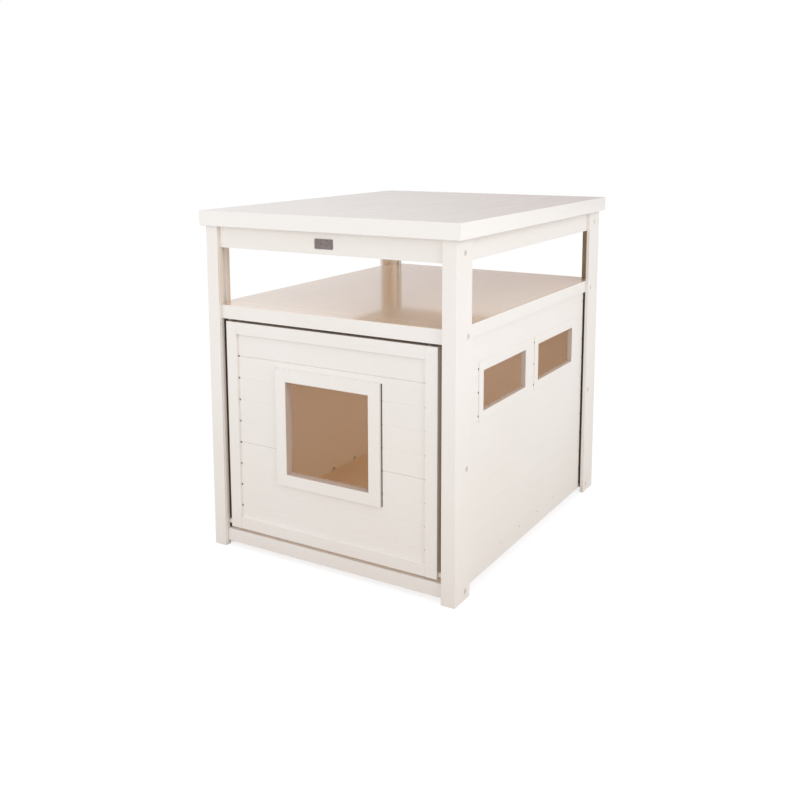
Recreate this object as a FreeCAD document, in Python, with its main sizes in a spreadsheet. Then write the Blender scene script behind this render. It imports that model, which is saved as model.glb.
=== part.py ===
import FreeCAD, Part
import os
import re
import Sketcher

# Litter box cabinet: four extruded corner posts, a tabletop, an open shelf bay and a closed
# lower bay with a drop-down front door.
# X is right, Y is back, Z is up; the origin is the middle of the footprint on the ground.

os.makedirs("parts", exist_ok=True)
doc = FreeCAD.newDocument("LitterCabinet")

# ---------------------------------------------------------------- driving dimensions (mm)

DIMENSIONS = (
    ("top_width", 614, "tabletop, left to right"),
    ("top_depth", 780, "tabletop, front to back"),
    ("top_thick", 32, "tabletop slab"),
    ("total_height", 734, "ground to tabletop surface"),
    ("top_edge_radius", 1.2, "eased edges of the slab"),
    ("joint_gap", 0.2, "play between parts that butt"),
    ("leg_half_x", 295, "outer face of a post from the middle"),
    ("leg_half_y", 382, "front or rear face of a post from the middle"),
    ("leg_block_x", 29.8, "post block width"),
    ("leg_block_y", 30, "post block depth"),
    ("leg_side_width", 64, "side face of a post"),
    ("flange_thick", 7.5, "post flange"),
    ("slot_lip", 15, "wall outside the post slot"),
    ("slot_width", 10, "post slot"),
    ("slot_deep", 7, "post slot"),
    ("post_line", 4.5, "shallow line along a post, behind its face"),
    ("post_line_deep", 1.4, "depth of that line"),
    ("post_edge_radius", 1, "eased corner of a post"),
    ("rail_recess", 8, "front and rear rails behind the post face"),
    ("rail_depth", 40, "front and rear rails, front to back"),
    ("apron_bottom", 657, "underside of the upper rails"),
    ("shelf_rail_bottom", 506, "underside of the front shelf rail"),
    ("side_shelf_rail_bottom", 508, "underside of the side shelf rail"),
    ("shelf_top", 535, "shelf surface"),
    ("shelf_thick", 12, "shelf and floor boards"),
    ("side_apron_thick", 15, "upper side rail"),
    ("side_shelf_rail_thick", 17, "side shelf rail"),
    ("base_bottom", 10, "underside of the base rails"),
    ("floor_top", 38, "floor surface"),
    ("stile_thick", 15.8, "wall stile"),
    ("stile_width", 63.8, "wall stile, front to back"),
    ("wall_face", 283, "outer face of a side wall from the middle"),
    ("wall_thick", 9, "side wall"),
    ("wall_half", 316, "half the length of a side wall"),
    ("wall_bottom", 12, "underside of a side wall"),
    ("plank_pitch", 47.2, "height of one plank"),
    ("plank_first", 61.8, "lowest groove of the side and back walls"),
    ("wall_vee", 0.4, "depth of the grooves of the side and back walls"),
    ("plank_vee", 0.7, "depth of the grooves of the door"),
    ("joint_vee", 1.5, "depth of the groove where two door boards meet"),
    ("plank_dimple", 2.3, "radius of the pit at a groove end"),
    ("plank_dimple_deep", 5, "depth of that pit"),
    ("window_near", 35, "window edge nearer the middle"),
    ("window_far", 242, "window edge nearer a post"),
    ("window_low", 351.5, "window sill"),
    ("window_high", 432.5, "window head"),
    ("window_trim", 20, "trim width round a window"),
    ("window_proud", 1.6, "trim in front of the wall"),
    ("liner_thick", 4, "lining of an opening"),
    ("back_thick", 9.6, "back wall"),
    ("bearer_width", 40, "bearer under the floor"),
    ("cleat_width", 16, "cleat under the shelf"),
    ("cleat_half", 290, "half the length of a cleat"),
    ("cleat_bottom", 509, "underside of a cleat"),
    ("block_size", 30, "corner block under the tabletop"),
    ("plug_height", 42.3, "wall plugs above the ground"),
    ("plug_near", 49, "inner wall plugs from the middle"),
    ("plug_far", 147, "outer wall plugs from the middle"),
    ("plug_radius", 2, "stem of a wall plug"),
    ("plug_proud", 0.4, "tip of a wall plug in front of the wall"),
    ("plug_head_radius", 4, "head of a wall plug"),
    ("plug_head_thick", 2.5, "head of a wall plug"),
    ("door_half", 253, "half the door width"),
    ("door_bottom", 45.5, "underside of the door"),
    ("door_top", 500.5, "top edge of the door"),
    ("door_recess", 7, "door frame behind the post face"),
    ("door_thick", 18, "door frame"),
    ("door_frame", 26, "face width of the door frame"),
    ("board_recess", 5, "door boards behind the door frame"),
    ("board_thick", 8, "door boards"),
    ("board_tongue", 5.8, "board edge inside the frame groove"),
    ("board_joint", 238.5, "joint of the lower and middle door boards"),
    ("door_plank", 47.17, "height of one plank of the door"),
    ("entry_half", 99.7, "half the entry width"),
    ("entry_low", 190.5, "entry sill"),
    ("entry_high", 387.7, "entry head"),
    ("entry_trim", 26.3, "trim width round the entry"),
    ("entry_trim_thick", 6, "trim in front of the boards"),
    ("entry_shadow", 3.4, "shadow slot beside the entry trim"),
    ("entry_shadow_deep", 6, "depth of that slot"),
    ("hinge_y", -366, "hinge axis, front to back"),
    ("hinge_z", 53, "hinge axis above the ground"),
    ("pin_radius", 4, "hinge pin"),
    ("pin_collar_radius", 5.2, "collar between post and door"),
    ("pin_play", 0.05, "running fit of the pin"),
    ("collar_air", 0.3, "air between the pin collar and the bush"),
    ("press_play", 0.02, "bush in the door stile"),
    ("pin_in_post", 19, "pin length inside the post"),
    ("pin_in_door", 16.5, "pin length inside the door"),
    ("bush_radius", 5.5, "hinge bush"),
    ("bush_flange_radius", 7, "flange of the bush"),
    ("bush_flange_thick", 1, "flange of the bush"),
    ("bush_length", 17.8, "bush inside the door stile"),
    ("bolt_radius", 2.5, "post bolt shank"),
    ("bolt_head_radius", 6, "post bolt head"),
    ("bolt_head_thick", 2.4, "post bolt head"),
    ("bolt_sink", 2.6, "depth of the seat for a bolt head"),
    ("bolt_socket", 2, "corner radius of the hexagon socket"),
    ("bolt_socket_deep", 1.5, "hexagon socket"),
    ("spacer_radius", 5, "sleeve round a long bolt"),
    ("bolt_apron_y", 348, "bolts of the upper rails from the middle"),
    ("bolt_apron_z", 676, "bolts of the upper rails above the ground"),
    ("bolt_shelf_y", 333, "bolts of the shelf rails from the middle"),
    ("bolt_shelf_z", 518, "bolts of the shelf rails above the ground"),
    ("bolt_wall_y", 335, "upper wall bolts from the middle"),
    ("bolt_wall_z", 262, "upper wall bolts above the ground"),
    ("bolt_foot_y", 337, "lower wall bolts from the middle"),
    ("bolt_foot_z", 17, "lower wall bolts above the ground"),
    ("bolt_play", 0.15, "clearance round a bolt"),
    ("bolt_short_end", 275, "tip of a short bolt from the middle"),
    ("bolt_long_end", 262, "tip of a long bolt from the middle"),
    ("catch_half", 22, "half the catch width"),
    ("catch_height", 18, "catch housing"),
    ("catch_depth", 18, "catch housing, front to back"),
    ("catch_air", 0.4, "air between the shut strike plate and the catch"),
    ("catch_wall", 8, "catch housing beside its mouth"),
    ("catch_lip", 4, "catch housing above and below its mouth"),
    ("catch_mouth", 3, "depth of the catch mouth"),
    ("strike_half", 18, "half the strike plate width"),
    ("strike_thick", 1.4, "strike plate"),
    ("strike_height", 13, "strike plate"),
    ("strike_drop", 3, "strike plate below the top edge of the door"),
    ("plate_half", 21.5, "half the blank nameplate width"),
    ("plate_low", 668, "lower edge of the blank nameplate"),
    ("plate_high", 688, "upper edge of the blank nameplate"),
    ("plate_thick", 1.2, "blank nameplate"),
    ("plate_corner", 2, "corner radius of the blank nameplate"),
    ("screw_radius", 1.75, "screws into the tabletop"),
    ("screw_length", 44, "screws into the tabletop"),
    ("screw_head_radius", 3.5, "screws into the tabletop"),
    ("screw_head_thick", 2, "screws into the tabletop"),
)

sheet = doc.addObject("Spreadsheet::Sheet", "Dims")
sheet.Label = "Dims"
for row, (alias, number, meaning) in enumerate(DIMENSIONS, start=1):
    sheet.set("A%d" % row, alias)
    sheet.set("B%d" % row, str(number))
    sheet.setAlias("B%d" % row, alias)
    sheet.set("C%d" % row, meaning)
doc.recompute()

ALIASES = {alias for alias, _, _ in DIMENSIONS}


def bound(formula):
    """The formula with each dimension word written as a reference to the sheet."""
    return re.sub(r"[a-z][a-z_]+", lambda word: "Dims." + word.group(0), formula)


def value(formula):
    """The present number of a formula in dimension words."""
    unknown = set(re.findall(r"[a-z][a-z_]+", formula)) - ALIASES
    if unknown:
        raise ValueError("unknown dimension: %s" % sorted(unknown))
    return float(sheet.evalExpression(bound(formula)))


def signed(sign, formula):
    """The formula mirrored when the sign is negative."""
    return "(%s)" % formula if sign > 0 else "-(%s)" % formula


# Shared heights and planes, all worked out from the sheet.
LEG_HEIGHT = "total_height - top_thick"
RAIL_FACE = "leg_half_y - rail_recess"
RAIL_BACK = "leg_half_y - rail_recess - rail_depth"
POST_INNER_X = "leg_half_x - leg_block_x"
POST_INNER_Y = "leg_half_y - leg_block_y"
FLANGE_END_Y = "leg_half_y - leg_side_width"
FLANGE_INNER_X = "leg_half_x - flange_thick"
SIDE_RAIL_FACE = "leg_half_x - flange_thick - joint_gap"
WALL_INNER = "wall_face - wall_thick"
STILE_OUTER = "wall_face - wall_thick - joint_gap"
STILE_INNER = "wall_face - wall_thick - joint_gap - stile_thick"
STILE_OUT_Y = "leg_half_y - leg_block_y - joint_gap"
STILE_IN_Y = "leg_half_y - leg_block_y - joint_gap - stile_width"
DOOR_FACE = "leg_half_y - door_recess"
BOARD_FACE = "leg_half_y - door_recess - board_recess"
DOOR_INNER = "door_half - door_frame"
LINED = "entry_half + liner_thick"
TRIM_OUT = "entry_half + entry_trim"
PIN_IN_DOOR_X = "door_half - pin_in_door"

BOLT_HOLE = "bolt_radius + bolt_play"

# Post bolts: distance from the middle along Y, and height.
SHORT_BOLTS = (("bolt_apron_y", "bolt_apron_z"), ("bolt_shelf_y", "bolt_shelf_z"))
LONG_BOLTS = (("bolt_wall_y", "bolt_wall_z"), ("bolt_foot_y", "bolt_foot_z"))

# ---------------------------------------------------------------- modelling helpers

parts = {}


def finish(obj, label):
    """Name a sub-part and keep it for export."""
    obj.Label = label
    parts[label] = obj
    return obj


def new_body(label):
    return finish(doc.addObject("PartDesign::Body", label), label)


def place(obj, x=None, y=None, z=None):
    """Bind the placement of a sub-part to the sheet."""
    for axis, formula in (("x", x), ("y", y), ("z", z)):
        if formula is not None:
            obj.setExpression(".Placement.Base.%s" % axis, bound(formula))


def new_sketch(body, role, offset=None):
    """A sketch on one of the body's own origin planes, moved along the plane's normal."""
    sketch = body.newObject("Sketcher::SketchObject", "Sketch")
    plane = [item for item in body.Origin.OriginFeatures if item.Role == role][0]
    sketch.AttachmentSupport = (plane, [""])
    sketch.MapMode = "FlatFace"
    if offset is not None:
        sketch.setExpression(".AttachmentOffset.Base.z", bound(offset))
    return sketch


def hold(sketch, kind, geometry, point, formula):
    """Hold one coordinate of a point at the formula's distance from the sketch origin."""
    number = value(formula)
    if number < 0:
        index = sketch.addConstraint(Sketcher.Constraint(kind, geometry, point, -1, 1, -number))
        sketch.setExpression("Constraints[%d]" % index, bound("-(%s)" % formula))
    else:
        index = sketch.addConstraint(Sketcher.Constraint(kind, -1, 1, geometry, point, number))
        sketch.setExpression("Constraints[%d]" % index, bound(formula))


def polygon(sketch, corners):
    """A closed outline through corners given as pairs of formulas."""
    spots = [FreeCAD.Vector(value(across), value(up), 0) for across, up in corners]
    first = sketch.GeometryCount
    count = len(corners)
    for index in range(count):
        sketch.addGeometry(Part.LineSegment(spots[index], spots[(index + 1) % count]), False)
    for index in range(count):
        following = first + (index + 1) % count
        sketch.addConstraint(Sketcher.Constraint("Coincident", first + index, 2, following, 1))
    for index, (across, up) in enumerate(corners):
        hold(sketch, "DistanceX", first + index, 1, across)
        hold(sketch, "DistanceY", first + index, 1, up)


def rectangle(sketch, left, right, low, high):
    polygon(sketch, ((left, low), (right, low), (right, high), (left, high)))


def circle(sketch, across, up, radius):
    spot = FreeCAD.Vector(value(across), value(up), 0)
    normal = FreeCAD.Vector(0, 0, 1)
    index = sketch.addGeometry(Part.Circle(spot, normal, value(radius)), False)
    hold(sketch, "DistanceX", index, 3, across)
    hold(sketch, "DistanceY", index, 3, up)
    size = sketch.addConstraint(Sketcher.Constraint("Radius", index, value(radius)))
    sketch.setExpression("Constraints[%d]" % size, bound(radius))


def pad(body, sketch, length, both_ways=False, backwards=False):
    feature = body.newObject("PartDesign::Pad", "Pad")
    feature.Profile = sketch
    feature.setExpression("Length", bound(length))
    feature.Midplane = both_ways
    feature.Reversed = backwards
    return feature


def cut_through(body, sketch):
    feature = body.newObject("PartDesign::Pocket", "CutThrough")
    feature.Profile = sketch
    feature.Type = "ThroughAll"
    feature.Midplane = True
    return feature


def cut_blind(body, sketch, length, backwards=False):
    feature = body.newObject("PartDesign::Pocket", "CutBlind")
    feature.Profile = sketch
    feature.setExpression("Length", bound(length))
    feature.Reversed = backwards
    return feature


def cut_vee(body, role, sign, face, height, deep):
    """A level V groove in the face that lies at a distance from the middle, on one side."""
    outside = face + " + 1"
    sketch = new_sketch(body, role)
    polygon(
        sketch,
        (
            (signed(sign, face), "%s + %s" % (height, deep)),
            (signed(sign, "%s - %s" % (face, deep)), height),
            (signed(sign, face), "%s - %s" % (height, deep)),
            (signed(sign, outside), "%s - %s" % (height, deep)),
            (signed(sign, outside), "%s + %s" % (height, deep)),
        ),
    )
    return cut_through(body, sketch)


def repeat_up(body, feature, pitch, count):
    """Repeat a feature upwards at a fixed pitch."""
    pattern = body.newObject("PartDesign::LinearPattern", "Planks")
    pattern.Originals = [feature]
    axis = [item for item in body.Origin.OriginFeatures if item.Role == "Z_Axis"][0]
    pattern.Direction = (axis, [""])
    pattern.setExpression("Length", bound("(%s) * %d" % (pitch, count - 1)))
    pattern.Occurrences = count
    body.Tip = pattern
    return pattern


def box_body(label, x, y, z, height):
    """A plain board: pairs of formulas for X and Y, the height of its underside and its height."""
    body = new_body(label)
    sketch = new_sketch(body, "XY_Plane")
    rectangle(sketch, x[0], x[1], y[0], y[1])
    pad(body, sketch, height)
    place(body, z=z)
    return body


def edges_at(feature, test):
    """Names of the feature's edges whose middle passes the test."""
    names = []
    for index, edge in enumerate(feature.Shape.Edges, start=1):
        if test(edge):
            names.append("Edge%d" % index)
    return names


def ease(body, feature, names, radius):
    fillet = body.newObject("PartDesign::Fillet", "Ease")
    fillet.Base = (feature, names)
    fillet.setExpression("Radius", bound(radius))
    body.Tip = fillet
    return fillet


def solids_group(label, solids):
    """Several separate solids under one name, such as a set of equal fasteners."""
    group = doc.addObject("Part::Feature", label)
    group.Shape = Part.makeCompound(solids)
    return finish(group, label)


def along_x(x_from, x_to, y, z, radius):
    """A solid round bar between two X positions."""
    start = FreeCAD.Vector(min(x_from, x_to), y, z)
    return Part.makeCylinder(radius, abs(x_to - x_from), start, FreeCAD.Vector(1, 0, 0))


def along_y(y_from, y_to, x, z, radius):
    """A solid round bar between two Y positions."""
    start = FreeCAD.Vector(x, min(y_from, y_to), z)
    return Part.makeCylinder(radius, abs(y_to - y_from), start, FreeCAD.Vector(0, 1, 0))


def along_z(z_from, z_to, x, y, radius):
    """A solid upright round bar between two heights."""
    start = FreeCAD.Vector(x, y, min(z_from, z_to))
    return Part.makeCylinder(radius, abs(z_to - z_from), start, FreeCAD.Vector(0, 0, 1))


# ---------------------------------------------------------------- posts


def side_name(sign):
    return "right" if sign > 0 else "left"


def end_name(sign):
    return "rear" if sign > 0 else "front"


def make_post(side, end):
    """L-shaped extruded post; a panel slot and a shallow line run up its inner side."""
    body = new_body("leg_%s_%s" % (end_name(end), side_name(side)))
    slot_out = "leg_half_y - slot_lip"
    slot_in = "leg_half_y - slot_lip - slot_width"
    slot_end = POST_INNER_X + " + slot_deep"
    outline = (
        ("leg_half_x", "leg_half_y"),
        ("leg_half_x", FLANGE_END_Y),
        (FLANGE_INNER_X, FLANGE_END_Y),
        (FLANGE_INNER_X, POST_INNER_Y),
        (POST_INNER_X, POST_INNER_Y),
        (POST_INNER_X, slot_in),
        (slot_end, slot_in),
        (slot_end, slot_out),
        (POST_INNER_X, slot_out),
        (POST_INNER_X, "leg_half_y - post_line - post_line_deep"),
        (POST_INNER_X + " + post_line_deep", "leg_half_y - post_line"),
        (POST_INNER_X, "leg_half_y - post_line + post_line_deep"),
        (POST_INNER_X, "leg_half_y"),
    )
    sketch = new_sketch(body, "XY_Plane")
    polygon(sketch, [(signed(side, x), signed(end, y)) for x, y in outline])
    blank = pad(body, sketch, LEG_HEIGHT)
    doc.recompute()

    def outer_corner(edge):
        middle = edge.BoundBox.Center
        upright = edge.BoundBox.ZLength > 1
        outside_x = abs(abs(middle.x) - value("leg_half_x")) < 0.01
        outside_y = abs(abs(middle.y) - value("leg_half_y")) < 0.01
        return upright and (outside_x or outside_y)

    ease(body, blank, edges_at(blank, outer_corner), "post_edge_radius")

    holes = new_sketch(body, "YZ_Plane")
    for y, z in SHORT_BOLTS + LONG_BOLTS:
        circle(holes, signed(end, y), z, BOLT_HOLE)
    cut = cut_through(body, holes)
    cut.Midplane = False
    cut.Reversed = side > 0

    seats = new_sketch(body, "YZ_Plane", signed(side, "leg_half_x"))
    for y, z in SHORT_BOLTS + LONG_BOLTS:
        circle(seats, signed(end, y), z, "bolt_head_radius + bolt_play")
    cut_blind(body, seats, "bolt_sink", backwards=side < 0)

    if end < 0:
        bore = new_sketch(body, "YZ_Plane", signed(side, POST_INNER_X))
        circle(bore, "hinge_y", "hinge_z", "pin_radius + pin_play")
        cut_blind(body, bore, "pin_in_post + joint_gap", backwards=side > 0)
    return body


for side in (-1, 1):
    for end in (-1, 1):
        make_post(side, end)

# ---------------------------------------------------------------- tabletop


def make_tabletop():
    body = box_body(
        "tabletop",
        ("-top_width / 2", "top_width / 2"),
        ("-top_depth / 2", "top_depth / 2"),
        LEG_HEIGHT,
        "top_thick",
    )
    blank = body.Tip
    doc.recompute()
    eased = ease(body, blank, edges_at(blank, lambda edge: True), "top_edge_radius")
    holes = new_sketch(body, "XY_Plane")
    for side in (-1, 1):
        for end in (-1, 1):
            circle(
                holes,
                signed(side, SIDE_RAIL_FACE + " - side_apron_thick - block_size / 2"),
                signed(end, RAIL_BACK + " - block_size / 2"),
                "screw_radius + 0.1",
            )
    cut = cut_blind(body, holes, "screw_length - block_size + 2", backwards=True)
    doc.recompute()
    if not cut.Shape.Volume < eased.Shape.Volume - 1:
        raise RuntimeError("screw holes of the tabletop were not cut")


make_tabletop()

# ---------------------------------------------------------------- rails and boards


def make_cross_rail(label, end, half_x, low, high):
    """Front or rear rail: its face fits between the posts, its back part runs behind them."""
    face = signed(end, RAIL_FACE)
    back = signed(end, RAIL_BACK)
    behind = signed(end, POST_INNER_Y + " - joint_gap")
    outline = (
        ("-(%s - joint_gap)" % POST_INNER_X, face),
        ("%s - joint_gap" % POST_INNER_X, face),
        ("%s - joint_gap" % POST_INNER_X, behind),
        (half_x, behind),
        (half_x, back),
        ("-(%s)" % half_x, back),
        ("-(%s)" % half_x, behind),
        ("-(%s - joint_gap)" % POST_INNER_X, behind),
    )
    body = new_body(label)
    sketch = new_sketch(body, "XY_Plane")
    polygon(sketch, outline)
    pad(body, sketch, "%s - %s" % (high, low))
    place(body, z=low)
    return body


def bore_for_bolts(body, side, face, spots, tip):
    """Blind bolt holes in the outer X face of a part, a little deeper than the bolt tips."""
    sketch = new_sketch(body, "YZ_Plane", signed(side, face))
    for y, z in spots:
        circle(sketch, y, z, BOLT_HOLE)
    cut_blind(body, sketch, "%s - %s + 0.5" % (face, tip), backwards=side < 0)


SIDE_SHELF_INNER = SIDE_RAIL_FACE + " - side_shelf_rail_thick"

for end in (-1, 1):
    apron = make_cross_rail(
        "top_rail_%s" % end_name(end), end, SIDE_RAIL_FACE, "apron_bottom", "(%s)" % LEG_HEIGHT
    )
    for side in (-1, 1):
        spot = (signed(end, "bolt_apron_y"), "bolt_apron_z - apron_bottom")
        bore_for_bolts(apron, side, SIDE_RAIL_FACE, [spot], "bolt_short_end")
    make_cross_rail(
        "shelf_rail_%s" % end_name(end),
        end,
        SIDE_SHELF_INNER + " - joint_gap",
        "shelf_rail_bottom",
        "shelf_top",
    )
    make_cross_rail(
        "base_rail_%s" % end_name(end), end, STILE_INNER + " - joint_gap", "base_bottom", "floor_top"
    )


def spread(side, inner, outer):
    """An X range given by its distances from the middle, on one side."""
    near, far = signed(side, inner), signed(side, outer)
    return (near, far) if side > 0 else (far, near)


def both(half):
    return ("-(%s)" % half, half)


for side in (-1, 1):
    hand = side_name(side)
    box_body(
        "top_rail_%s" % hand,
        spread(side, SIDE_RAIL_FACE + " - side_apron_thick", SIDE_RAIL_FACE),
        both(RAIL_BACK + " - joint_gap"),
        "apron_bottom",
        "(%s) - apron_bottom" % LEG_HEIGHT,
    )
    shelf_side = box_body(
        "shelf_rail_%s" % hand,
        spread(side, SIDE_SHELF_INNER, SIDE_RAIL_FACE),
        both(STILE_OUT_Y),
        "side_shelf_rail_bottom",
        "shelf_top - side_shelf_rail_bottom",
    )
    shelf_spots = [
        (signed(end, "bolt_shelf_y"), "bolt_shelf_z - side_shelf_rail_bottom") for end in (-1, 1)
    ]
    bore_for_bolts(shelf_side, side, SIDE_RAIL_FACE, shelf_spots, "bolt_short_end")
    box_body(
        "base_rail_%s" % hand,
        spread(side, STILE_INNER, STILE_OUTER),
        both(STILE_IN_Y + " - joint_gap"),
        "base_bottom + joint_gap",
        "floor_top - shelf_thick - base_bottom - 2 * joint_gap",
    )
    box_body(
        "shelf_cleat_%s" % hand,
        spread(side, SIDE_SHELF_INNER + " - cleat_width", SIDE_SHELF_INNER),
        both("cleat_half"),
        "cleat_bottom",
        "shelf_top - shelf_thick - joint_gap - cleat_bottom",
    )

box_body(
    "shelf_panel",
    both(SIDE_SHELF_INNER + " - joint_gap"),
    both(RAIL_BACK + " - joint_gap"),
    "shelf_top - shelf_thick",
    "shelf_thick",
)


def make_floor():
    """Floor board, notched at its corners round the wall stiles."""
    wide = STILE_OUTER
    narrow = STILE_INNER + " - joint_gap"
    short = STILE_IN_Y + " - joint_gap"
    long = RAIL_BACK + " - joint_gap"
    quarter = ((wide, short), (narrow, short), (narrow, long))
    outline = []
    for side, end, order in ((1, 1, 1), (-1, 1, -1), (-1, -1, 1), (1, -1, -1)):
        for x, y in quarter[::order]:
            outline.append((signed(side, x), signed(end, y)))
    body = new_body("floor_panel")
    sketch = new_sketch(body, "XY_Plane")
    polygon(sketch, outline)
    pad(body, sketch, "shelf_thick")
    place(body, z="floor_top - shelf_thick")


make_floor()
box_body(
    "floor_bearer",
    both("bearer_width / 2"),
    both(RAIL_BACK + " - joint_gap"),
    "base_bottom + joint_gap",
    "floor_top - shelf_thick - base_bottom - 2 * joint_gap",
)

# ---------------------------------------------------------------- side walls


def make_stile(side, end):
    """Upright behind a post flange; the side wall is fixed to its outer face."""
    span = [signed(end, STILE_IN_Y), signed(end, STILE_OUT_Y)]
    if end < 0:
        span.reverse()
    body = box_body(
        "wall_stile_%s_%s" % (end_name(end), side_name(side)),
        spread(side, STILE_INNER, STILE_OUTER),
        span,
        "base_bottom + joint_gap",
        "shelf_rail_bottom - base_bottom - 2 * joint_gap",
    )
    spots = [(signed(end, y), z + " - base_bottom - joint_gap") for y, z in LONG_BOLTS]
    bore_for_bolts(body, side, STILE_OUTER, spots, "bolt_long_end")


PLANK_COUNT = 10
WINDOW_GROOVES = (6, 7, 8)


def make_wall(side):
    """Side wall of horizontal planks with two window openings, pitted at its groove ends."""
    body = new_body("side_wall_%s" % side_name(side))
    sketch = new_sketch(body, "YZ_Plane", signed(side, WALL_INNER))
    rectangle(
        sketch, "-wall_half", "wall_half", "wall_bottom", "side_shelf_rail_bottom - joint_gap"
    )
    pad(body, sketch, "wall_thick", backwards=side < 0)

    windows = new_sketch(body, "YZ_Plane")
    for end in (-1, 1):
        span = [
            signed(end, "window_near - liner_thick - joint_gap"),
            signed(end, "window_far + liner_thick + joint_gap"),
        ]
        rectangle(
            windows,
            span[0],
            span[1],
            "window_low - liner_thick - joint_gap",
            "window_high + liner_thick + joint_gap",
        )
    cut = cut_through(body, windows)
    cut.Midplane = False
    cut.Reversed = side > 0

    plugs = new_sketch(body, "YZ_Plane")
    for y in ("-plug_far", "-plug_near", "plug_near", "plug_far"):
        circle(plugs, y, "plug_height", "plug_radius + 0.1")
    cut = cut_through(body, plugs)
    cut.Midplane = False
    cut.Reversed = side > 0

    pits = new_sketch(body, "YZ_Plane", signed(side, "wall_face"))
    for row in WINDOW_GROOVES:
        height = "plank_first + %d * plank_pitch" % row
        for end in (-1, 1):
            for edge in ("window_near - window_trim - 0.8", "window_far + window_trim + 0.8"):
                circle(pits, signed(end, edge), height, "plank_dimple")
    cut_blind(body, pits, "plank_dimple_deep", backwards=side < 0)

    notches = new_sketch(body, "YZ_Plane", signed(side, "wall_face"))
    for row in range(PLANK_COUNT):
        height = "plank_first + %d * plank_pitch" % row
        for end in (-1, 1):
            circle(notches, signed(end, "wall_half"), height, "plank_dimple")
    cut_blind(body, notches, "plank_dimple_deep", backwards=side < 0)

    groove = cut_vee(body, "XZ_Plane", side, "wall_face", "plank_first", "wall_vee")
    repeat_up(body, groove, "plank_pitch", PLANK_COUNT)
    return body


def make_window_trim(side, end):
    """Window lining with a flat trim flange on the outer face of the wall."""
    body = new_body("window_trim_%s_%s" % (end_name(end), side_name(side)))
    near = signed(end, "window_near")
    far = signed(end, "window_far")
    flange = new_sketch(body, "YZ_Plane", signed(side, "wall_face"))
    rectangle(
        flange,
        signed(end, "window_near - window_trim"),
        signed(end, "window_far + window_trim"),
        "window_low - window_trim",
        "window_high + window_trim",
    )
    rectangle(flange, near, far, "window_low", "window_high")
    pad(body, flange, "window_proud", backwards=side < 0)
    lining = new_sketch(body, "YZ_Plane", signed(side, "wall_face"))
    rectangle(
        lining,
        signed(end, "window_near - liner_thick"),
        signed(end, "window_far + liner_thick"),
        "window_low - liner_thick",
        "window_high + liner_thick",
    )
    rectangle(lining, near, far, "window_low", "window_high")
    pad(body, lining, "wall_thick", backwards=side > 0)


for side in (-1, 1):
    make_wall(side)
    for end in (-1, 1):
        make_stile(side, end)
        make_window_trim(side, end)

# ---------------------------------------------------------------- back wall


def make_back_wall():
    """Plank wall whose upright edges stand in the slots of the rear posts."""
    face = "leg_half_y - slot_lip - joint_gap"
    body = new_body("back_wall")
    sketch = new_sketch(body, "XZ_Plane", "-(%s)" % face)
    rectangle(
        sketch,
        "-(%s + slot_deep - joint_gap)" % POST_INNER_X,
        "%s + slot_deep - joint_gap" % POST_INNER_X,
        "floor_top + joint_gap",
        "shelf_rail_bottom - joint_gap",
    )
    pad(body, sketch, "back_thick")
    groove = cut_vee(body, "YZ_Plane", 1, face, "plank_first", "wall_vee")
    repeat_up(body, groove, "plank_pitch", PLANK_COUNT)


make_back_wall()

# ---------------------------------------------------------------- drop-down door

BOARD_LOW = "door_bottom + door_frame - board_tongue"
BOARD_HIGH = "door_top - door_frame + board_tongue"
GROOVE_FRONT = "-(%s) - 0.1" % BOARD_FACE
GROOVE_BACK = "-(%s) + board_thick + 0.1" % BOARD_FACE
DOOR_BACK = "-(%s) + door_thick" % DOOR_FACE
GROOVE_DEEP = "board_tongue + joint_gap"


def make_door_stile(side):
    """Door stile with a groove for the boards and a bore for the hinge bush."""
    body = new_body("door_stile_%s" % side_name(side))
    front = "-(%s)" % DOOR_FACE
    outline = (
        ("door_half", front),
        ("door_half", DOOR_BACK),
        (DOOR_INNER, DOOR_BACK),
        (DOOR_INNER, GROOVE_BACK),
        (DOOR_INNER + " + " + GROOVE_DEEP, GROOVE_BACK),
        (DOOR_INNER + " + " + GROOVE_DEEP, GROOVE_FRONT),
        (DOOR_INNER, GROOVE_FRONT),
        (DOOR_INNER, front),
    )
    sketch = new_sketch(body, "XY_Plane")
    polygon(sketch, [(signed(side, x), y) for x, y in outline])
    pad(body, sketch, "door_top - door_bottom")
    bore = new_sketch(body, "YZ_Plane", signed(side, "door_half"))
    circle(bore, "hinge_y", "hinge_z - door_bottom", "bush_radius")
    cut_blind(body, bore, "bush_length + joint_gap", backwards=side < 0)
    place(body, z="door_bottom")


def make_door_rail(end):
    """Door rail between the stiles, grooved along its inner edge; end is 1 for the top one."""
    body = new_body("door_rail_%s" % ("top" if end > 0 else "bottom"))
    outer = "door_top" if end > 0 else "door_bottom"
    inner = "door_top - door_frame" if end > 0 else "door_bottom + door_frame"
    seat = "%s + %s" % (inner, GROOVE_DEEP) if end > 0 else "%s - (%s)" % (inner, GROOVE_DEEP)
    front = "-(%s)" % DOOR_FACE
    sketch = new_sketch(body, "YZ_Plane")
    polygon(
        sketch,
        (
            (front, outer),
            (DOOR_BACK, outer),
            (DOOR_BACK, inner),
            (GROOVE_BACK, inner),
            (GROOVE_BACK, seat),
            (GROOVE_FRONT, seat),
            (GROOVE_FRONT, inner),
            (front, inner),
        ),
    )
    pad(body, sketch, "2 * (%s - joint_gap)" % DOOR_INNER, both_ways=True)


# Grooves and joints are numbered upwards from the lowest joint, one plank apart.
BOARD_PLANKS = 4
TRIM_GROOVES = (-1, 0, 1, 2, 3)


def door_groove(number):
    return "board_joint + %d * door_plank" % number


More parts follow.
